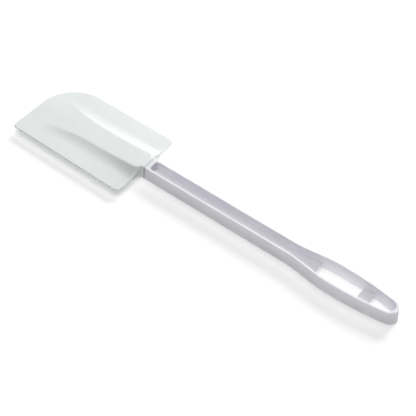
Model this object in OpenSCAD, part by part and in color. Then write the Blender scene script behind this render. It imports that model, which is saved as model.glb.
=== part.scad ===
// Long-handled scraper: a soft moulded blade on a rigid moulded handle.
// X runs from the blade's tip (negative) to the hanging loop (positive), +Z is up.
// The origin is under the middle of the tool, on the surface it lies on.
// The blade is the same above and below its middle plane. The handle has a channel above its web
// and a shallower one below it.

/* [Overall] */
// Length from the blade's tip to the end of the hanging loop
overall_l = 343; // [320:1:420]
// Height of the handle, and of the blade's collar beside it
handle_h = 12.8; // [12:0.1:16]

/* [Blade] */
// Length of the blade's flaps along the tool
flap_l = 109.6; // [104:0.2:112]
// Width across the flaps at the handle end
flap_w = 68.6; // [62:0.2:76]
// How much nearer to the middle the straight side is at the tip
straight_taper = 2; // [0:0.1:3]
// How much nearer to the middle the side of the large corner is at the tip
round_taper = 0.7; // [0:0.1:3]
// Thickness of a flap at its outer edge
flap_edge_t = 1.5; // [1.2:0.1:2.4]
// Thickness of a flap beside the spine
flap_root_t = 2.4; // [2:0.1:3]
// Lean of the front edge, back towards the rounded corner
front_lean = 1.8; // [0:0.1:6]
// Radius of the small corner at the tip
tip_corner_r = 3; // [2:0.2:6]
// Length of the large rounded corner along the tool
bowl_corner_l = 30.2; // [20:0.2:36]
// Width of the large rounded corner across the tool
bowl_corner_w = 31.2; // [20:0.2:40]
// Radius of the two corners at the handle end
rear_corner_r = 4.8; // [2:0.2:6]

/* [Spine] */
// Width of the flat top of the spine
spine_w = 18.4; // [16:0.2:22]
// Width of the hollow curve between the spine's top and the flap
scoop_w = 10.4; // [7:0.2:12]
// Distance from the tip at which the spine's top starts to spread
spread_from = 62; // [50:1:70]
// Distance from the tip at which the spine has faded into the flap
fade_at = 12; // [8:1:20]

/* [Collar and tang] */
// Distance from the tip to the seam between blade and handle
seam_at = 112.6; // [110:0.5:118]
// Width of the blade's collar at the seam
collar_w = 13.4; // [13.2:0.1:15]
// Distance from the tip to the buried end of the handle's tang
tang_end_at = 61; // [58:1:70]
// Width of the tang at the seam
tang_w = 10.2; // [9:0.2:10.6]
// Diameter of the holes that lock the tang into the blade
lock_d = 4.4; // [3:0.2:5]

/* [Handle] */
// Width of the handle at the seam
neck_w = 12.7; // [12:0.1:13]
// Width of the handle where the hanging loop starts
shank_w = 13.1; // [12.6:0.1:15]
// Greatest width of the hanging loop
loop_w = 21.1; // [19:0.1:26]
// Width of the loop where its rounded end begins
loop_end_w = 11.7; // [10:0.1:15]
// Thickness of the handle's side walls
wall_t = 1.6; // [1.4:0.1:2.2]
// Height of the web's top above the surface the tool lies on
web_top = 5.6; // [4:0.1:6.4]
// Thickness of the web between the side walls
web_t = 2; // [1.6:0.1:3]
// Length of the solid block between the seam and the channel
neck_block_l = 3.7; // [3:0.2:8]
// Length of the long window in the loop
long_window_l = 38.2; // [30:0.2:42]
// Length of the bridge between the two windows
bridge_l = 9.1; // [6:0.1:12]
// Distance from the loop's end to the bridge
hang_hole_end = 24.7; // [20:0.1:26]

/* [Hidden] */

tip_x = -overall_l / 2;
end_x = overall_l / 2;
mid_z = handle_h / 2;
seam_x = tip_x + seam_at;
handle_l = overall_l - seam_at;

// Distances from the loop's end at which the loop is widest and at which it starts
loop_wide_from = 52;
loop_wide_to = 55;
loop_start = 97;
// Lengths of the loop's rounded end, outside and inside, and of its end wall
end_round = 6;
inner_round = 5;
end_wall_t = 2.6;
// Radius of the channel's corners beside the neck block
channel_corner_r = 2.4;
// Radius of the collar's long edges
collar_edge_r = 1.4;

// Height of the spine's top above the middle plane: level at first, then rising to the handle
spine_front_h = 2.5;
spine_rise_h = mid_z - spine_front_h;
spine_rise_power = 5;
// How sharply the hollow curve falls away from the spine's top, and how much that edge is softened
scoop_power = 2;
scoop_soft = 0.6;
// How far the spine's top spreads by the time it has faded
spread_w = 8;
// Distance from the tip at which the spine stands at its full height
full_at = 52;
// Length over which the spine narrows to the collar
shoulder_l = 2.4;

tang_end_w = 8;
tang_side = [[seam_at, 4.9], [100, 4.1], [88, 2.8], [tang_end_at, 1.2]];
lock_at = [70, 82, 94];
overlap = 0.5;

// Steps of the blade's surface, along it and across each of its three zones
row_n = 36;
shoulder_n = 3;
top_n = 3;
scoop_n = 5;
edge_n = 11;

function blend(a, b, f) = a + (b - a) * f;
function ramp(f) = min(1, max(0, f));
function ease(f) = ramp(f) * ramp(f) * (3 - 2 * ramp(f));
// How far a rounded corner of radius r stands back, at a distance e from its side
function corner(e, r) = r - sqrt(r * r - pow(r - min(r, max(0, e)), 2));

// The blade, at a distance d from its tip
function flap_half(d, side) = flap_w / 2 - (side < 0 ? straight_taper : round_taper) * (1 - d / flap_l);
function spread(d) = pow(ramp((spread_from - d) / (spread_from - fade_at)), 2);
function shoulder(d) = ramp(1 - (flap_l - d) / shoulder_l);
function top_half(d) = spine_w / 2 + spread_w * spread(d) - (spine_w - collar_w) / 2 * shoulder(d);
function foot_half(d) = spine_w / 2 + scoop_w + (spread_w - scoop_w / 2) * spread(d);
function spine_z(d) = spine_front_h + spine_rise_h * pow(d / flap_l, spine_rise_power);
function flap_z(d, y) = blend(flap_root_t, flap_edge_t, abs(y) / flap_half(d, y)) / 2;
function soft(e) = (e + sqrt(e * e + scoop_soft * scoop_soft)) / 2;
function scoop(d, y) = pow(1 - ramp(soft(abs(y) - top_half(d)) / (foot_half(d) - top_half(d))), scoop_power);
function surface_z(d, y) = flap_z(d, y)
    + (spine_z(d) - flap_z(d, y)) * scoop(d, y) * ease((d - fade_at) / (full_at - fade_at));

// Column c counts zones from the middle: the top ends at 1, the hollow at 2, the flap at 3
function side_y(c, d, side) = c < 1 ? c * top_half(d)
    : c < 2 ? blend(top_half(d), foot_half(d), c - 1)
    : blend(foot_half(d), flap_half(d, side), c - 2);
function column_y(c, d) = sign(c) * side_y(abs(c), d, c);
function front_d(y) = (y + flap_w / 2 - tip_corner_r) * tan(front_lean)
    + corner(flap_half(0, -1) + y, tip_corner_r)
    + corner(flap_half(bowl_corner_l, 1) - y, bowl_corner_w) * bowl_corner_l / bowl_corner_w;
function rear_d(y) = flap_l - corner(flap_w / 2 - abs(y), rear_corner_r);
function start_d(c, d = 0, tries = 6) = tries == 0 ? d
    : start_d(c, front_d(column_y(c, d)), tries - 1);
function finish_d(c, d = flap_l) = rear_d(column_y(c, d));

half_columns = concat(
    [for (i = [1:top_n]) i / top_n],
    [for (i = [1:scoop_n]) 1 + pow(i / scoop_n, 1.4)],
    [for (i = [1:edge_n]) 2 + sin(90 * i / edge_n)]);
columns = concat([for (i = [len(half_columns) - 1:-1:0]) -half_columns[i]], [0], half_columns);
column_n = len(columns);

// Point on the blade's upper (side = 1) or lower (side = -1) surface
function blade_point(row, column, side) =
    let (c = columns[column])
    let (finish = finish_d(c))
    let (d = row < row_n - shoulder_n
        ? blend(start_d(c), finish - shoulder_l, row / (row_n - shoulder_n))
        : finish - shoulder_l * (row_n - row) / shoulder_n)
    let (y = column_y(c, d))
    [tip_x + d, y, mid_z + side * surface_z(d, y)];
function point_id(row, column, side) = (side > 0 ? 0 : (row_n + 1) * column_n) + row * column_n + column;

// The handle, at a distance d from the loop's end
function loop_half(d) = d < loop_wide_from
    ? loop_w / 2 - (loop_w - loop_end_w) / 2 * pow(1 - d / loop_wide_from, 2)
    : blend(loop_w / 2, shank_w / 2, ease((d - loop_wide_to) / (loop_start - loop_wide_to)));
function shank_half(d) = d < loop_start
    ? loop_half(d)
    : blend(shank_w / 2, neck_w / 2, (d - loop_start) / (handle_l - loop_start));
// Rounded end: the width grows from nothing as a quarter ellipse of length l
function rounded(d, l) = sqrt(1 - pow(1 - ramp(d / l), 2));
function outer_half(d) = shank_half(d) * rounded(d, end_round);
channel_l = handle_l - neck_block_l;
function inner_half(d) = (shank_half(d) - wall_t) * rounded(d - end_wall_t, inner_round)
    - corner(channel_l - d, channel_corner_r);

// Stations along the handle: close together at the round ends, wide apart on the shank
end_stations = [for (a = [0:10:80]) 1 - cos(a)];
loop_stations = [for (d = [end_round + 2:3:loop_start]) d];
outer_stations = concat(end_round * end_stations, loop_stations, [loop_start, handle_l]);
inner_stations = concat(
    [for (s = end_stations) end_wall_t + inner_round * s],
    loop_stations, [loop_start],
    [for (a = [0:15:90]) channel_l - channel_corner_r * (1 - sin(a))]);

module outline(stations, halves) {
    last = len(stations) - 1;
    polygon(concat(
        [for (i = [0:last]) [end_x - stations[i], halves[i]]],
        [for (i = [last:-1:0]) if (halves[i] > 0) [end_x - stations[i], -halves[i]]]));
}

module outer_outline() {
    outline(outer_stations, [for (d = outer_stations) outer_half(d)]);
}

module channel_outline() {
    outline(inner_stations, [for (d = inner_stations) inner_half(d)]);
}

// The stretch of the channel between two distances from the loop's end
module window(from, to) {
    linear_extrude(handle_h + 2 * overlap)
        intersection() {
            channel_outline();
            translate([end_x - to, -loop_w / 2])
                square([to - from, loop_w]);
        }
}

module tang() {
    tip_r = tang_end_w / 2;
    difference() {
        intersection() {
            linear_extrude(handle_h)
                union() {
                    polygon([
                        [seam_x, tang_w / 2],
                        [seam_x, -tang_w / 2],
                        [tip_x + tang_end_at + tip_r, -tip_r],
                        [tip_x + tang_end_at + tip_r, tip_r]]);
                    translate([tip_x + tang_end_at + tip_r, 0])
                        circle(tip_r, $fn = 48);
                }
            translate([tip_x, tang_w / 2, mid_z])
                rotate([90, 0, 0])
                    linear_extrude(tang_w)
                        polygon(concat(tang_side, [for (i = [3:-1:0]) [tang_side[i][0], -tang_side[i][1]]]));
        }
        for (at = lock_at)
            translate([tip_x + at, 0, 0])
                cylinder(h = handle_h, d = lock_d, $fn = 48);
    }
}

module handle() {
    color([0.80, 0.80, 0.83]) {
        difference() {
            linear_extrude(handle_h)
                outer_outline();
            translate([0, 0, web_top])
                linear_extrude(handle_h)
                    channel_outline();
            translate([0, 0, web_top - web_t - handle_h])
                linear_extrude(handle_h)
                    channel_outline();
            translate([0, 0, -overlap]) {
                window(0, hang_hole_end);
                window(hang_hole_end + bridge_l, hang_hole_end + bridge_l + long_window_l);
            }
        }
        tang();
    }
}

module blade_skin() {
    top = [for (r = [0:row_n]) for (c = [0:column_n - 1]) blade_point(r, c, 1)];
    bottom = [for (r = [0:row_n]) for (c = [0:column_n - 1]) blade_point(r, c, -1)];
    last = column_n - 1;
    top_faces = [for (r = [0:row_n - 1]) for (c = [0:last - 1]) each [
        [point_id(r, c, 1), point_id(r, c + 1, 1), point_id(r + 1, c, 1)],
        [point_id(r, c + 1, 1), point_id(r + 1, c + 1, 1), point_id(r + 1, c, 1)]]];
    bottom_faces = [for (r = [0:row_n - 1]) for (c = [0:last - 1]) each [
        [point_id(r, c, -1), point_id(r + 1, c, -1), point_id(r, c + 1, -1)],
        [point_id(r, c + 1, -1), point_id(r + 1, c, -1), point_id(r + 1, c + 1, -1)]]];
    end_faces = [for (c = [0:last - 1]) each [
        [point_id(0, c, 1), point_id(0, c, -1), point_id(0, c + 1, -1), point_id(0, c + 1, 1)],
        [point_id(row_n, c, 1), point_id(row_n, c + 1, 1),
            point_id(row_n, c + 1, -1), point_id(row_n, c, -1)]]];
    side_faces = [for (r = [0:row_n - 1]) each [
        [point_id(r, 0, 1), point_id(r + 1, 0, 1), point_id(r + 1, 0, -1), point_id(r, 0, -1)],
        [point_id(r, last, 1), point_id(r, last, -1), point_id(r + 1, last, -1), point_id(r + 1, last, 1)]]];
    polyhedron(concat(top, bottom), concat(top_faces, bottom_faces, end_faces, side_faces), convexity = 6);
}

// Short sleeve at the back of the blade, round the root of the tang
module collar() {
    reach = seam_at - flap_l + overlap;
    flat_y = collar_w / 2 - collar_edge_r;
    flat_z = mid_z - collar_edge_r;
    translate([seam_x, 0, mid_z])
        rotate([0, -90, 0])
            linear_extrude(reach)
                union() {
                    square([handle_h, 2 * flat_y], center = true);
                    square([2 * flat_z, collar_w], center = true);
                    for (z = [-flat_z, flat_z], y = [-flat_y, flat_y])
                        translate([z, y])
                            circle(collar_edge_r, $fn = 32);
                }
}

module blade() {
    color([0.90, 0.92, 0.92])
        difference() {
            union() {
                blade_skin();
                collar();
            }
            tang();
        }
}

handle();
blade();
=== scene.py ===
"""Long-handled scraper: a soft blade moulded onto a rigid handle with a channel above its web
and a shallower one below.

Lengths are in millimetres, with d measured from the blade's tip or from the loop's end, as each
function says, until a mesh is made: meshes, lights and camera are in metres, in the CAD frame.
"""

import math

import bmesh
import bpy
import numpy as np
from mathutils import Matrix, Vector


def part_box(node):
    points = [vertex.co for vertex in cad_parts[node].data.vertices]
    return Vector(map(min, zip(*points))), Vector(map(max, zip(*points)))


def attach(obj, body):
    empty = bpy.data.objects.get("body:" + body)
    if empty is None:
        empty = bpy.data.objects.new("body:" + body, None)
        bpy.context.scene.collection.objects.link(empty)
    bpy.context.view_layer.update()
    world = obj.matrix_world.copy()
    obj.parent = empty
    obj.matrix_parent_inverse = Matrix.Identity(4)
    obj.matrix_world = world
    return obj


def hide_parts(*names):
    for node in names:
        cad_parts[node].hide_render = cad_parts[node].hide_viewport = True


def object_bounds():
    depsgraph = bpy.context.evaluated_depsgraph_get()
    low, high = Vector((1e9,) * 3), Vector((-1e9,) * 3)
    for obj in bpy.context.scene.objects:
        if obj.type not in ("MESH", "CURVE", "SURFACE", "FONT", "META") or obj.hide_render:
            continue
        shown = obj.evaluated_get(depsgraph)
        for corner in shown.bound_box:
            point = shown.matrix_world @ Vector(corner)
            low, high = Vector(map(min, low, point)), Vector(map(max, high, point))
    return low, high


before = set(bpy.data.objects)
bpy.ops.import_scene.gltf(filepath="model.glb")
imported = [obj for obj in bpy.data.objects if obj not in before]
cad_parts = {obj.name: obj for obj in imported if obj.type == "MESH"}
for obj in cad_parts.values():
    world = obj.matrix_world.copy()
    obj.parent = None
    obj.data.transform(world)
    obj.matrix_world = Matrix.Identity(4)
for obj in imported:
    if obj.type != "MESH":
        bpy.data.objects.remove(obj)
cad_low, cad_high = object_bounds()
blade_low, blade_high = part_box("blade")
handle_low, handle_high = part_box("handle")

MM = 0.001
TINY = 1e-6
TIP_X = cad_low.x / MM
END_X = cad_high.x / MM
SEAM_AT = (blade_high.x - cad_low.x) / MM
HANDLE_H = (handle_high.z - handle_low.z) / MM
MID_Z = HANDLE_H / 2
HANDLE_L = END_X - TIP_X - SEAM_AT

# Blade
FLAP_L = 109.6
FLAP_W = (blade_high.y - blade_low.y) / MM
STRAIGHT_TAPER = 2.0
ROUND_TAPER = 0.7
FLAP_EDGE_T = 1.5
FLAP_ROOT_T = 2.4
FRONT_LEAN = math.radians(1.8)
TIP_CORNER_R = 3.0
BOWL_CORNER_L = 30.2
BOWL_CORNER_W = 31.2
REAR_CORNER_R = 4.8
DRAFT = 0.08

# Spine
SPINE_W = 18.4
SCOOP_W = 10.4
SPREAD_FROM = 62.0
SPREAD_W = 8.0
FADE_AT = 12.0
FULL_AT = 52.0
SPINE_FRONT_H = 2.5
SPINE_RISE_POWER = 5
SCOOP_POWER = 2.0
SCOOP_SOFT = 0.6
SHOULDER_L = 2.4

# Collar and tang
COLLAR_W = 13.4
COLLAR_FILLET_R = 0.8
TANG_END_AT = 61.0
TANG_W = 10.2
TANG_END_W = 8.0
TANG_SIDE = ((100.0, 4.1), (88.0, 2.8), (TANG_END_AT, 1.2))
TANG_ROOT_H = 4.9
LOCK_D = 4.4
LOCK_AT = (70.0, 82.0, 94.0)

# Handle
NECK_W = 12.7
SHANK_W = 13.1
LOOP_W = (handle_high.y - handle_low.y) / MM
LOOP_END_W = 11.7
WALL_T = 1.6
WEB_TOP = 5.6
WEB_T = 2.0
NECK_BLOCK_L = 3.7
LONG_WINDOW_L = 38.2
BRIDGE_L = 9.1
HANG_HOLE_END = 24.7
LOOP_WIDE_FROM = 52.0
LOOP_WIDE_TO = 55.0
LOOP_START = 97.0
END_ROUND = 6.0
INNER_ROUND = 5.0
END_WALL_T = 2.6
CHANNEL_CORNER_R = 2.4
CHANNEL_L = HANDLE_L - NECK_BLOCK_L


# ---------------------------------------------------------------- shape formulas

def blend(a, b, f):
    return a + (b - a) * f


def ramp(f):
    return np.clip(f, 0.0, 1.0)


def ease(f):
    f = ramp(f)
    return f * f * (3 - 2 * f)


def corner(e, r):
    """How far a rounded corner of radius r stands back, at a distance e from its side."""
    return r - np.sqrt(r * r - (r - np.minimum(r, np.maximum(0.0, e))) ** 2)


def flap_half(d, side):
    """Half width of the flap on the straight side (negative) or on the large corner's side."""
    taper = np.where(np.asarray(side) < 0, STRAIGHT_TAPER, ROUND_TAPER)
    return FLAP_W / 2 - DRAFT - taper * (1 - np.minimum(d, FLAP_L) / FLAP_L)


def spread(d):
    return ramp((SPREAD_FROM - d) / (SPREAD_FROM - FADE_AT)) ** 2


def top_half(d):
    shoulder = ramp(1 - (FLAP_L - d) / SHOULDER_L)
    return SPINE_W / 2 + SPREAD_W * spread(d) - (SPINE_W - COLLAR_W) / 2 * shoulder


def foot_half(d):
    return SPINE_W / 2 + SCOOP_W + (SPREAD_W - SCOOP_W / 2) * spread(d)


def spine_z(d):
    rise = (MID_Z - SPINE_FRONT_H) * (d / FLAP_L) ** SPINE_RISE_POWER
    return np.minimum(MID_Z, SPINE_FRONT_H + rise)


def flap_z(d, y):
    return blend(FLAP_ROOT_T, FLAP_EDGE_T, np.abs(y) / flap_half(d, y)) / 2


def blade_z(d, y):
    """Half thickness of the blade before its edges are rounded."""
    beyond = np.abs(y) - top_half(d)
    fall = ramp((beyond + np.hypot(beyond, SCOOP_SOFT)) / 2 / (foot_half(d) - top_half(d)))
    shown = ease((d - FADE_AT) / (FULL_AT - FADE_AT))
    return flap_z(d, y) + (spine_z(d) - flap_z(d, y)) * (1 - fall) ** SCOOP_POWER * shown


def front_d(y):
    lean = (y + FLAP_W / 2 - TIP_CORNER_R) * math.tan(FRONT_LEAN)
    near = corner(flap_half(0, -1) + y, TIP_CORNER_R)
    far = corner(flap_half(BOWL_CORNER_L, 1) - y, BOWL_CORNER_W) * BOWL_CORNER_L / BOWL_CORNER_W
    return DRAFT + lean + near + far


def rear_d(y):
    back = corner(FLAP_W / 2 - DRAFT - np.abs(y), REAR_CORNER_R)
    return FLAP_L - back + corner(np.abs(y) - COLLAR_W / 2, COLLAR_FILLET_R)


def loop_half(d):
    wide = LOOP_W / 2 - (LOOP_W - LOOP_END_W) / 2 * (1 - d / LOOP_WIDE_FROM) ** 2
    neck = blend(LOOP_W / 2, SHANK_W / 2, ease((d - LOOP_WIDE_TO) / (LOOP_START - LOOP_WIDE_TO)))
    return np.where(d < LOOP_WIDE_FROM, wide, neck)


def shank_half(d):
    """Half width of the handle, at a distance d from the loop's end."""
    shank = blend(SHANK_W / 2, NECK_W / 2, (d - LOOP_START) / (HANDLE_L - LOOP_START))
    return np.where(d < LOOP_START, loop_half(d), shank)


def rounded(d, length):
    return np.sqrt(1 - (1 - ramp(d / length)) ** 2)


# ---------------------------------------------------------------- mesh helpers

def new_object(name, verts, faces):
    mesh = bpy.data.meshes.new(name)
    mesh.from_pydata([tuple(v) for v in np.asarray(verts) * MM], [], faces)
    mesh.validate()
    obj = bpy.data.objects.new(name, mesh)
    bpy.context.scene.collection.objects.link(obj)
    bm = bmesh.new()
    bm.from_mesh(mesh)
    bmesh.ops.recalc_face_normals(bm, faces=bm.faces)
    bm.to_mesh(mesh)
    bm.free()
    return obj


def prism(name, outline, low, high, axis):
    """Closed prism of a 2D outline between two levels of z, or of y for an outline in x and z."""
    n = len(outline)
    ends = [[(a, b, level) if axis == "z" else (a, level, b) for a, b in outline] for level in (low, high)]
    sides = [(i, (i + 1) % n, n + (i + 1) % n, n + i) for i in range(n)]
    return new_object(name, ends[0] + ends[1], sides + [tuple(range(n)), tuple(range(n, 2 * n))])


def combine(obj, other, operation):
    """Applies a boolean with another closed object, which is then removed."""
    cut = obj.modifiers.new("cut", "BOOLEAN")
    cut.operation = operation
    cut.solver = "MANIFOLD"
    cut.object = other
    settle(obj)
    bpy.data.objects.remove(other)


def settle(obj):
    """Applies the object's modifiers to its mesh."""
    depsgraph = bpy.context.evaluated_depsgraph_get()
    mesh = bpy.data.meshes.new_from_object(obj.evaluated_get(depsgraph), depsgraph=depsgraph)
    obj.modifiers.clear()
    obj.data = mesh


def smooth(obj, angle):
    """Smooth shading that keeps edges sharper than the angle, with flats kept flat."""
    obj.data.shade_smooth()
    obj.data.set_sharp_from_angle(angle=math.radians(angle))
    weigh = obj.modifiers.new("weigh", "WEIGHTED_NORMAL")
    weigh.mode = "FACE_AREA"
    weigh.keep_sharp = True
    settle(obj)


# ---------------------------------------------------------------- tang

def make_tang(name, root_at):
    """The tang, from its buried end to root_at, a distance from the blade's tip."""
    tip_r = TANG_END_W / 2
    centre = TANG_END_AT + tip_r
    slope = (TANG_W - TANG_END_W) / 2 / (SEAM_AT - centre)
    root_half = tip_r + slope * (root_at - centre)
    arc = [math.radians(a) for a in range(90, 271, 10)]
    plan = [(TIP_X + root_at, -root_half), (TIP_X + root_at, root_half)]
    plan += [(TIP_X + centre + tip_r * math.cos(a), tip_r * math.sin(a)) for a in arc]
    tang = prism(name, plan, 0, HANDLE_H, "z")
    side = [(root_at, TANG_ROOT_H)] + list(TANG_SIDE)
    upper = [(TIP_X + d, MID_Z + h) for d, h in side]
    lower = [(TIP_X + d, MID_Z - h) for d, h in reversed(side)]
    combine(tang, prism("tang_side", upper + lower, -TANG_W, TANG_W, "y"), "INTERSECT")
    for at in LOCK_AT:
        round_hole = [
            (TIP_X + at + LOCK_D / 2 * math.cos(a), LOCK_D / 2 * math.sin(a))
            for a in np.linspace(0, 2 * math.pi, 48, endpoint=False)
        ]
        combine(tang, prism("lock", round_hole, -1, HANDLE_H + 1, "z"), "DIFFERENCE")
    return tang


# ---------------------------------------------------------------- blade

# Distances from an edge at which its rounding is sampled
EDGE_STEPS = (0.0, 0.03, 0.09, 0.18, 0.3, 0.45, 0.62, 0.85, 1.2)
EDGE_R = 0.45
EDGE_R_SHARE = 0.19
ROOT_EDGE_R = 1.1
COLLAR_EDGE_R = 1.3
COLLAR_BLEND_L = 2.0
SEAM_EDGE_R = 0.6
# Columns near the edge of the flat top, as shares of its half width
TOP_EDGE_STEPS = (0.21, 0.17, 0.135, 0.1, 0.072, 0.048, 0.028, 0.012, 0.003, 0.0)
# Rows over the collar, as shares of the way to the seam
COLLAR_STEPS = (0.12, 0.3, 0.5, 0.7, 0.85, 0.93, 0.97, 0.99, 1.0)


def zone_columns():
    """Zone coordinates of the columns on one side: top to 1, hollow curve to 2, flap to 3."""
    top = list(np.linspace(0, 0.79, 10, endpoint=False))
    top += [1 - e for e in TOP_EDGE_STEPS]
    hollow = [1 + f for f in np.linspace(0, 1, 19)[1:] ** 1.25]
    flap_w = FLAP_W / 2 - STRAIGHT_TAPER - foot_half(0.5 * FLAP_L)
    edge = [3 - e / flap_w for e in reversed(EDGE_STEPS)]
    flap = list(np.linspace(2, edge[0], 17)[1:-1])
    return np.array(top + hollow + flap + edge)


def zone_y(c, d):
    side = np.abs(c)
    top, foot, edge = top_half(d), foot_half(d), flap_half(d, c)
    outer = np.where(side < 2, blend(top, foot, side - 1), blend(foot, edge, side - 2))
    return np.sign(c) * np.where(side < 1, side * top, outer)


def distance_to(points, line):
    """Least distance from each point to a run of straight segments."""
    best = np.full(len(points), np.inf)
    for a, b in zip(line[:-1], line[1:]):
        along = b - a
        f = ramp(((points - a) @ along) / (along @ along))
        best = np.minimum(best, np.linalg.norm(points - a - f[:, None] * along, axis=1))
    return best


def blade_grid():
    """Rows of (d, y) points over the flaps, and rows over the collar behind them."""
    half = zone_columns()
    columns = np.concatenate([-half[:0:-1], half])
    start = np.zeros(len(columns))
    for _ in range(12):
        start = front_d(zone_y(columns, start))
    finish = rear_d(zone_y(columns, np.full(len(columns), FLAP_L)))
    inner = np.abs(columns) <= 1 + TINY
    finish[inner] = FLAP_L + COLLAR_FILLET_R
    first = [e / FLAP_L for e in EDGE_STEPS]
    last = [1 - e / FLAP_L for e in (SHOULDER_L, 2.1, 1.8, 1.5, *reversed(EDGE_STEPS))]
    middle = list(np.linspace(first[-1], last[0], 96)[1:-1])
    rows = np.array(first + middle + last)
    d = start[None, :] + (finish - start)[None, :] * rows[:, None]
    y = zone_y(columns[None, :], d)
    keep = np.flatnonzero(inner)
    collar_d = FLAP_L + COLLAR_FILLET_R + (SEAM_AT - FLAP_L - COLLAR_FILLET_R) * np.array(COLLAR_STEPS)
    collar_y = zone_y(columns[keep], np.full(len(keep), FLAP_L))
    return d, y, keep, collar_d, collar_y


def make_blade():
    """Upper and lower sheets joined round their rim, with the tang's space taken out."""
    d, y, keep, collar_d, collar_y = blade_grid()
    row_n, column_n = d.shape
    points = [np.stack([d.ravel(), y.ravel()], 1)]
    points += [np.stack([np.full(len(keep), at), collar_y], 1) for at in collar_d]
    points = np.concatenate(points)
    ids = np.arange(row_n * column_n).reshape(row_n, column_n)
    behind = row_n * column_n + np.arange(len(collar_d) * len(keep)).reshape(len(collar_d), len(keep))
    tail = np.vstack([ids[-1][keep], behind])
    quads = []
    for grid in (ids, tail):
        quads += [
            (grid[r, c], grid[r, c + 1], grid[r + 1, c + 1], grid[r + 1, c])
            for r in range(grid.shape[0] - 1)
            for c in range(grid.shape[1] - 1)
        ]
    rim = outline_of(quads)
    along = points[rim]
    depth = blade_z(points[:, 0], points[:, 1])
    collar = ramp((points[:, 0] - FLAP_L + COLLAR_BLEND_L) / COLLAR_BLEND_L)
    radius = np.clip(EDGE_R_SHARE * depth, EDGE_R, blend(ROOT_EDGE_R, COLLAR_EDGE_R, collar))
    depth = depth - corner(distance_to(points, without_seam(along)), radius)
    depth = depth - corner(SEAM_AT - points[:, 0], SEAM_EDGE_R)
    n = len(points)
    x = TIP_X + points[:, 0]
    upper = np.stack([x, points[:, 1], MID_Z + depth], 1)
    lower = np.stack([x, points[:, 1], MID_Z - depth], 1)
    out = rim_normals(along) * DRAFT
    middle_x, middle_y = TIP_X + along[:, 0] + out[:, 0], along[:, 1] + out[:, 1]
    middle = np.stack([middle_x, middle_y, np.full(len(rim), MID_Z)], 1)
    at_seam = along[:, 0] > SEAM_AT - TINY
    middle[at_seam, 0] = TIP_X + SEAM_AT
    verts = np.concatenate([upper, lower, middle])
    faces = [tuple(int(i) for i in q) for q in quads]
    faces += [tuple(int(i) + n for i in reversed(q)) for q in quads]
    m = len(rim)
    for i in range(m):
        j = (i + 1) % m
        faces.append((int(rim[i]), int(rim[j]), 2 * n + j, 2 * n + i))
        faces.append((2 * n + i, 2 * n + j, int(rim[j]) + n, int(rim[i]) + n))
    blade = new_object("blade_moulding", verts, faces)
    combine(blade, make_tang("tang_cut", SEAM_AT + 1), "DIFFERENCE")
    smooth(blade, 42)
    return blade


def without_seam(outline):
    """The outline's points in order, without those on the seam."""
    seam = np.flatnonzero(outline[:, 0] > SEAM_AT - TINY)
    if seam.max() - seam.min() + 1 == len(seam):
        outline = np.roll(outline, -seam.max() - 1, axis=0)
    return outline[outline[:, 0] <= SEAM_AT - TINY]


def outline_of(quads):
    """The closed boundary loop of a sheet of quads, as vertex numbers in order."""
    count = {}
    for q in quads:
        for a, b in zip(q, q[1:] + q[:1]):
            count[(a, b)] = count.get((a, b), 0) + 1
    follows = {a: b for (a, b) in count if (b, a) not in count}
    loop = [next(iter(follows))]
    while follows[loop[-1]] != loop[0]:
        loop.append(follows[loop[-1]])
    return np.array(loop)


def rim_normals(loop):
    """Outward unit normals of a closed 2D loop."""
    step = np.roll(loop, -1, axis=0) - np.roll(loop, 1, axis=0)
    normal = np.stack([step[:, 1], -step[:, 0]], 1)
    normal /= np.linalg.norm(normal, axis=1)[:, None]
    area = np.sum(loop[:, 0] * np.roll(loop[:, 1], -1) - np.roll(loop[:, 0], -1) * loop[:, 1])
    return normal if area > 0 else -normal


# ---------------------------------------------------------------- handle

RIM_R = 0.62
WEB_R = 0.7
WINDOW_R = 0.3
SEAM_R = 0.6
# Spacing of the outline points along the loop, and how far they keep from a window's end
LOOP_STEP = 1.5
WINDOW_CLEAR = 0.7
NEAR = 0.01


def handle_loops():
    """Paired outer and inner outlines of one side, from the loop's end to the seam's middle."""
    angles = np.radians(np.arange(0, 90, 7.5))
    outer = [END_ROUND * (1 - math.cos(a)) for a in angles]
    inner = [END_WALL_T + INNER_ROUND * (1 - math.cos(a)) for a in angles]
    window_ends = [HANG_HOLE_END, HANG_HOLE_END + BRIDGE_L, HANG_HOLE_END + BRIDGE_L + LONG_WINDOW_L]
    shared = list(np.arange(9, LOOP_START + 12, LOOP_STEP))
    shared = [d for d in shared if min(abs(d - w) for w in window_ends) > WINDOW_CLEAR] + window_ends
    shared += list(np.linspace(LOOP_START + 14, CHANNEL_L - CHANNEL_CORNER_R, 12))
    shared.sort()
    outer += shared
    inner += shared
    inner_d, outer_d = np.array(inner), np.array(outer)
    inner_y = list((shank_half(inner_d) - WALL_T) * rounded(inner_d - END_WALL_T, INNER_ROUND))
    outer_y = list(shank_half(outer_d) * rounded(outer_d, END_ROUND))
    arc = np.radians(np.arange(15, 91, 15))
    for a in arc:
        at = CHANNEL_L - CHANNEL_CORNER_R * (1 - math.sin(a))
        inner.append(at)
        inner_y.append(float(shank_half(np.array(at))) - WALL_T - CHANNEL_CORNER_R * (1 - math.cos(a)))
    side = np.linspace(CHANNEL_L - CHANNEL_CORNER_R, HANDLE_L, 5)[1:]
    outer += list(side)
    outer_y += [float(h) for h in shank_half(side)]
    across = inner_y[-1] / (NECK_W / 2)
    outer += [HANDLE_L, HANDLE_L]
    outer_y += [NECK_W / 2 * blend(1, across, 0.5), NECK_W / 2 * across]
    return np.array(outer), np.array(outer_y), np.array(inner), np.array(inner_y), window_ends


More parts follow.
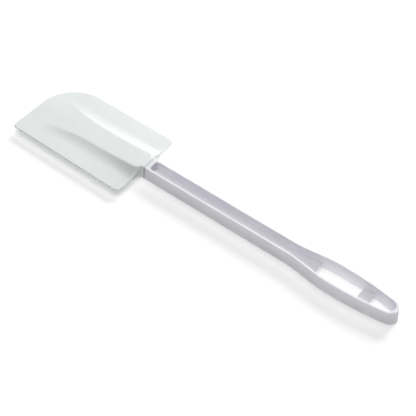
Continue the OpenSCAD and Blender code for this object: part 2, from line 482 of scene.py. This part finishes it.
def make_handle():
    """Walls and web between the paired outlines, with rounded edges and the tang joined on."""
    outer_d, outer_y, inner_d, inner_y, ends = handle_loops()
    n = len(outer_d)
    draft = np.where(outer_y > 0.4, DRAFT, 0.0)
    verts = []

    def ring(d, y, z):
        """Adds both sides of one outline at one level; returns its vertex numbers."""
        first = len(verts)
        verts.extend((END_X - a, b, z) for a, b in zip(d, y))
        verts.extend((END_X - a, -b, z) for a, b in zip(d, y))
        return first + np.arange(n), first + n + np.arange(n)

    outer = [ring(outer_d + s * 0, outer_y - s, z) for z, s in ((HANDLE_H, draft), (MID_Z, 0), (0, draft))]
    inner = [ring(inner_d, inner_y, z) for z in (HANDLE_H, WEB_TOP, WEB_TOP - WEB_T, 0)]
    faces = []
    in_web = [d1 <= ends[1] + TINY and d0 >= ends[0] - TINY or d0 >= ends[2] - TINY
              for d0, d1 in zip(inner_d[:-1], inner_d[1:])]
    for side in (0, 1):
        for k in range(n - 1):
            for upper, lower in ((outer[0], outer[1]), (outer[1], outer[2])):
                faces.append((upper[side][k], upper[side][k + 1], lower[side][k + 1], lower[side][k]))
            for o, i in ((outer[0], inner[0]), (outer[2], inner[3])):
                faces.append((o[side][k], o[side][k + 1], i[side][k + 1], i[side][k]))
            for a, b, open_only in ((0, 1, False), (1, 2, True), (2, 3, False)):
                if open_only and in_web[k]:
                    continue
                u, w = inner[a][side], inner[b][side]
                faces.append((u[k], u[k + 1], w[k + 1], w[k]))
    for k in range(n - 1):
        if in_web[k]:
            for level in (inner[1], inner[2]):
                faces.append((level[0][k], level[0][k + 1], level[1][k + 1], level[1][k]))
    for at in ends:
        k = int(np.argmin(np.abs(inner_d - at)))
        faces.append((inner[1][0][k], inner[1][1][k], inner[2][1][k], inner[2][0][k]))
    last = n - 1
    for upper, lower in ((outer[0], outer[1]), (outer[1], outer[2])):
        faces.append((upper[0][last], upper[1][last], lower[1][last], lower[0][last]))
    for o, i in ((outer[0], inner[0]), (outer[2], inner[3])):
        faces.append((o[0][last], o[1][last], i[1][last], i[0][last]))
    for a, b in ((0, 1), (2, 3)):
        faces.append((inner[a][0][last], inner[a][1][last], inner[b][1][last], inner[b][0][last]))
    handle = new_object("handle_moulding", verts, [tuple(int(i) for i in f) for f in faces])
    weld(handle)
    round_edges(handle)
    combine(handle, make_tang("tang", SEAM_AT + 1), "UNION")
    smooth(handle, 42)
    return handle


def weld(obj):
    """Joins the points that lie on each other."""
    bm = bmesh.new()
    bm.from_mesh(obj.data)
    bmesh.ops.remove_doubles(bm, verts=bm.verts, dist=TINY)
    bmesh.ops.recalc_face_normals(bm, faces=bm.faces)
    bm.to_mesh(obj.data)
    bm.free()


def round_edges(obj):
    """Rounds each sharp edge with the radius of its kind, through bevel weights."""
    mesh = obj.data
    bm = bmesh.new()
    bm.from_mesh(mesh)
    weight = bm.edges.layers.float.new("bevel_weight_edge")
    biggest = max(RIM_R, WEB_R, WINDOW_R, SEAM_R)
    for edge in bm.edges:
        if len(edge.link_faces) != 2 or edge.calc_face_angle() < math.radians(50):
            continue
        a, b = (v.co / MM for v in edge.verts)
        at_seam = max(a.x, b.x) < TIP_X + SEAM_AT + NEAR
        if abs(a.z - b.z) >= 0.1 * NEAR:
            radius = SEAM_R if at_seam else 0
        elif min(a.z, HANDLE_H - a.z) < NEAR:
            radius = SEAM_R if at_seam else RIM_R
        elif edge.is_convex:
            radius = WINDOW_R
        else:
            radius = WEB_R
        edge[weight] = radius / biggest
    bm.to_mesh(mesh)
    bm.free()
    bevel = obj.modifiers.new("bevel", "BEVEL")
    bevel.limit_method = "WEIGHT"
    bevel.width = biggest * MM
    bevel.segments = 4
    bevel.use_clamp_overlap = True
    settle(obj)


# ---------------------------------------------------------------- materials

# Base colours: two clouded tones, then streaks, worn edges and a painted shade along the groove at the
# seam
HANDLE_TONES = ((0.735, 0.735, 0.775), (0.765, 0.763, 0.795))
HANDLE_STREAK = (0.80, 0.80, 0.815)
HANDLE_WORN = (0.83, 0.83, 0.84)
HANDLE_SEAM_SHADE = (0.42, 0.42, 0.45)
BLADE_TONES = ((0.735, 0.765, 0.757), (0.76, 0.788, 0.78))
BLADE_STREAK = (0.79, 0.81, 0.805)
BLADE_WORN = (0.82, 0.83, 0.82)
BLADE_SEAM_SHADE = (0.48, 0.49, 0.47)
FLOOR_TONES = ((0.93, 0.93, 0.93), (0.95, 0.95, 0.95))

# Roughness: from, to, and where worn
HANDLE_ROUGH = (0.38, 0.50, 0.30)
BLADE_ROUGH = (0.52, 0.64, 0.42)

# Light given off by the floor itself, which keeps shadows pale
FLOOR_GLOW = 0.25

def new_material(name):
    material = bpy.data.materials.new(name)
    material.use_nodes = True
    tree = material.node_tree
    return material, tree, tree.nodes["Principled BSDF"]


def noise(tree, coords, scale, detail=3.0, stretch=(1, 1, 1)):
    mapping = tree.nodes.new("ShaderNodeMapping")
    mapping.inputs["Scale"].default_value = stretch
    tree.links.new(coords, mapping.inputs["Vector"])
    node = tree.nodes.new("ShaderNodeTexNoise")
    node.inputs["Scale"].default_value = scale
    node.inputs["Detail"].default_value = detail
    tree.links.new(mapping.outputs["Vector"], node.inputs["Vector"])
    return node.outputs["Fac"]


def ranged(tree, value, low, high, to_low, to_high):
    """The value, mapped from the range low to high onto to_low to to_high, and held within it."""
    node = tree.nodes.new("ShaderNodeMapRange")
    for name, number in (("From Min", low), ("From Max", high), ("To Min", to_low), ("To Max", to_high)):
        node.inputs[name].default_value = number
    tree.links.new(value, node.inputs["Value"])
    return node.outputs["Result"]


def mixed(tree, factor, a, b):
    """A colour from a to b by the factor; each is a fixed colour or another node's output."""
    node = tree.nodes.new("ShaderNodeMix")
    node.data_type = "RGBA"
    tree.links.new(factor, node.inputs["Factor"])
    for socket, colour in (("A", a), ("B", b)):
        target = next(s for s in node.inputs if s.name == socket and s.type == "RGBA")
        if isinstance(colour, tuple):
            target.default_value = (*colour, 1)
        else:
            tree.links.new(colour, target)
    return next(s for s in node.outputs if s.type == "RGBA")


def worn(tree, low, high, patches):
    """How worn the surface is: 0 on flat areas, up to 1 along its outer edges, in patches."""
    edges = tree.nodes.new("ShaderNodeNewGeometry").outputs["Pointiness"]
    node = tree.nodes.new("ShaderNodeMath")
    node.operation = "MULTIPLY"
    tree.links.new(ranged(tree, edges, low, high, 0, 1), node.inputs[0])
    tree.links.new(ranged(tree, patches, 0.35, 0.65, 0.35, 1), node.inputs[1])
    return node.outputs["Value"]


def near_seam(tree, coords, reach):
    """1 at the seam between blade and handle, falling to 0 at a distance of reach on each side; it places
    the painted shade of the seam's groove.
    """
    split = tree.nodes.new("ShaderNodeSeparateXYZ")
    tree.links.new(coords, split.inputs["Vector"])
    away = tree.nodes.new("ShaderNodeMath")
    away.operation = "SUBTRACT"
    tree.links.new(split.outputs["X"], away.inputs[0])
    away.inputs[1].default_value = (TIP_X + SEAM_AT) * MM
    distance = tree.nodes.new("ShaderNodeMath")
    distance.operation = "ABSOLUTE"
    tree.links.new(away.outputs["Value"], distance.inputs[0])
    return ranged(tree, distance.outputs["Value"], 0, reach * MM, 1, 0)


def blended(tree, factor, value, to):
    """The value, drawn towards a fixed number by the factor."""
    node = tree.nodes.new("ShaderNodeMix")
    tree.links.new(factor, node.inputs[0])
    tree.links.new(value, node.inputs[2])
    node.inputs[3].default_value = to
    return node.outputs[0]


def bumped(tree, height, strength, distance, normal=None):
    node = tree.nodes.new("ShaderNodeBump")
    node.inputs["Strength"].default_value = strength
    node.inputs["Distance"].default_value = distance
    tree.links.new(height, node.inputs["Height"])
    if normal is not None:
        tree.links.new(normal, node.inputs["Normal"])
    return node.outputs["Normal"]


def handle_material():
    """Rigid moulded plastic: lilac white, satin, with a fine spark-eroded grain and flow streaks."""
    material, tree, shader = new_material("handle_plastic")
    coords = tree.nodes.new("ShaderNodeTexCoord").outputs["Object"]
    cloud = noise(tree, coords, 45, 2)
    streaks = noise(tree, coords, 300, 3, (0.12, 1, 1))
    grain = noise(tree, coords, 4200, 2)
    pits = noise(tree, coords, 1500, 2)
    tone = mixed(tree, ranged(tree, cloud, 0.3, 0.7, 0, 1), *HANDLE_TONES)
    tone = mixed(tree, ranged(tree, streaks, 0.35, 0.75, 0, 0.25), tone, HANDLE_STREAK)
    wear = worn(tree, 0.51, 0.56, cloud)
    tone = mixed(tree, wear, tone, HANDLE_WORN)
    # Painted shade: the base colour darkens towards the seam, standing in for the shadow in the groove
    # between blade and handle
    tone = mixed(tree, near_seam(tree, coords, SEAM_R), tone, HANDLE_SEAM_SHADE)
    tree.links.new(tone, shader.inputs["Base Color"])
    low, high, smoothed = HANDLE_ROUGH
    rough = blended(tree, wear, ranged(tree, pits, 0.3, 0.7, low, high), smoothed)
    tree.links.new(rough, shader.inputs["Roughness"])
    normal = bumped(tree, grain, 0.25, 0.00003)
    normal = bumped(tree, streaks, 0.15, 0.00008, normal)
    tree.links.new(normal, shader.inputs["Normal"])
    shader.inputs["IOR"].default_value = 1.49
    shader.inputs["Subsurface Weight"].default_value = 0.6
    shader.inputs["Subsurface Radius"].default_value = (1.0, 0.95, 1.0)
    shader.inputs["Subsurface Scale"].default_value = 0.003
    return material


def blade_material():
    """Soft elastomer: faintly green white, satin, slightly translucent where it is thin."""
    material, tree, shader = new_material("blade_elastomer")
    coords = tree.nodes.new("ShaderNodeTexCoord").outputs["Object"]
    cloud = noise(tree, coords, 38, 3)
    swirl = noise(tree, coords, 160, 4, (0.4, 1, 1))
    grain = noise(tree, coords, 3000, 2)
    tone = mixed(tree, ranged(tree, cloud, 0.3, 0.7, 0, 1), *BLADE_TONES)
    tone = mixed(tree, ranged(tree, swirl, 0.4, 0.75, 0, 0.3), tone, BLADE_STREAK)
    wear = worn(tree, 0.51, 0.58, swirl)
    tone = mixed(tree, wear, tone, BLADE_WORN)
    # Painted shade: the base colour darkens towards the seam, standing in for the shadow in the groove
    # between blade and handle
    tone = mixed(tree, near_seam(tree, coords, SEAM_EDGE_R), tone, BLADE_SEAM_SHADE)
    tree.links.new(tone, shader.inputs["Base Color"])
    low, high, smoothed = BLADE_ROUGH
    rough = blended(tree, wear, ranged(tree, swirl, 0.3, 0.7, low, high), smoothed)
    tree.links.new(rough, shader.inputs["Roughness"])
    normal = bumped(tree, grain, 0.2, 0.00004)
    normal = bumped(tree, cloud, 0.15, 0.0004, normal)
    tree.links.new(normal, shader.inputs["Normal"])
    shader.inputs["IOR"].default_value = 1.41
    shader.inputs["Specular IOR Level"].default_value = 0.4
    shader.inputs["Subsurface Weight"].default_value = 0.35
    shader.inputs["Subsurface Radius"].default_value = (1.0, 1.0, 0.95)
    shader.inputs["Subsurface Scale"].default_value = 0.002
    return material


def floor_material():
    """Matt white paper with faint clouding, which gives off a little light."""
    material, tree, shader = new_material("floor_paper")
    coords = tree.nodes.new("ShaderNodeTexCoord").outputs["Object"]
    shade = noise(tree, coords, 6, 2)
    tone = mixed(tree, ranged(tree, shade, 0.3, 0.7, 0, 1), *FLOOR_TONES)
    tree.links.new(tone, shader.inputs["Base Color"])
    shader.inputs["Roughness"].default_value = 0.9
    shader.inputs["Emission Color"].default_value = (1, 1, 1, 1)
    shader.inputs["Emission Strength"].default_value = FLOOR_GLOW
    return material


# ---------------------------------------------------------------- stage

CAMERA_AZIMUTH = 37.93
CAMERA_ELEVATION = 47.83
CAMERA_ROLL = 0.88
CAMERA_DISTANCE = 1.35487
CAMERA_SIDE = -0.00117
CAMERA_UP = -0.00277
CAMERA_LENS = 155.78
SENSOR = 36.0
CLIP_END = 20

# Soft lamps, aimed at the origin: name, place and size in metres, power in watts
LAMPS = (
    ("back_soft", (-0.236, 1.339, 0.634), (1.1, 1.0), 28.4),
    ("top_soft", (0, 0, 1.5), (1.2, 1.2), 11.8),
    ("front_soft", (0.317, -0.68, 1.299), (1.1, 1.0), 3.3),
)
FLOOR_HALF = 3.0


def make_camera():
    """A long lens at the viewing angle, aimed at the middle of the tool."""
    azimuth, elevation, roll = (math.radians(a) for a in (CAMERA_AZIMUTH, CAMERA_ELEVATION, CAMERA_ROLL))
    level = Vector((math.cos(azimuth), math.sin(azimuth), 0))
    away = Vector((math.sin(azimuth), -math.cos(azimuth), 0))
    back = math.cos(elevation) * away + math.sin(elevation) * Vector((0, 0, 1))
    upright = back.cross(level)
    right = math.cos(roll) * level + math.sin(roll) * upright
    up = -math.sin(roll) * level + math.cos(roll) * upright
    data = bpy.data.cameras.new("camera")
    data.lens = CAMERA_LENS
    data.sensor_width = SENSOR
    camera = bpy.data.objects.new("camera", data)
    middle = Vector((0, 0, MID_Z * MM))
    place = middle + back * CAMERA_DISTANCE + right * CAMERA_SIDE + up * CAMERA_UP
    camera.matrix_world = Matrix.Translation(place) @ Matrix((right, up, back)).transposed().to_4x4()
    bpy.context.scene.collection.objects.link(camera)
    bpy.context.scene.camera = camera
    data.clip_end = CLIP_END


def make_area(name, place, size, power):
    data = bpy.data.lights.new(name, "AREA")
    data.shape = "RECTANGLE"
    data.size, data.size_y = size
    data.energy = power
    light = bpy.data.objects.new(name, data)
    light.location = place
    light.rotation_euler = (Vector((0, 0, 0)) - Vector(place)).to_track_quat("-Z", "Y").to_euler()
    bpy.context.scene.collection.objects.link(light)


def make_stage():
    """The floor and the lamps; the room itself gives no light."""
    half = FLOOR_HALF / MM
    corners = [(-half, -half, 0), (half, -half, 0), (half, half, 0), (-half, half, 0)]
    floor = new_object("floor", corners, [(0, 1, 2, 3)])
    floor.data.materials.append(floor_material())
    for lamp in LAMPS:
        make_area(*lamp)
    world = bpy.data.worlds.new("studio")
    world.use_nodes = True
    world.node_tree.nodes["Background"].inputs["Color"].default_value = (1, 1, 1, 1)
    world.node_tree.nodes["Background"].inputs["Strength"].default_value = 0.0
    bpy.context.scene.world = world
    bpy.context.scene.view_settings.view_transform = "Standard"


# ---------------------------------------------------------------- assembly

make_camera()
make_stage()

blade = make_blade()
blade.data.materials.clear()
blade.data.materials.append(blade_material())
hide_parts("blade")
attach(blade, "root")

handle = make_handle()
handle.data.materials.clear()
handle.data.materials.append(handle_material())
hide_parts("handle")
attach(handle, "root")
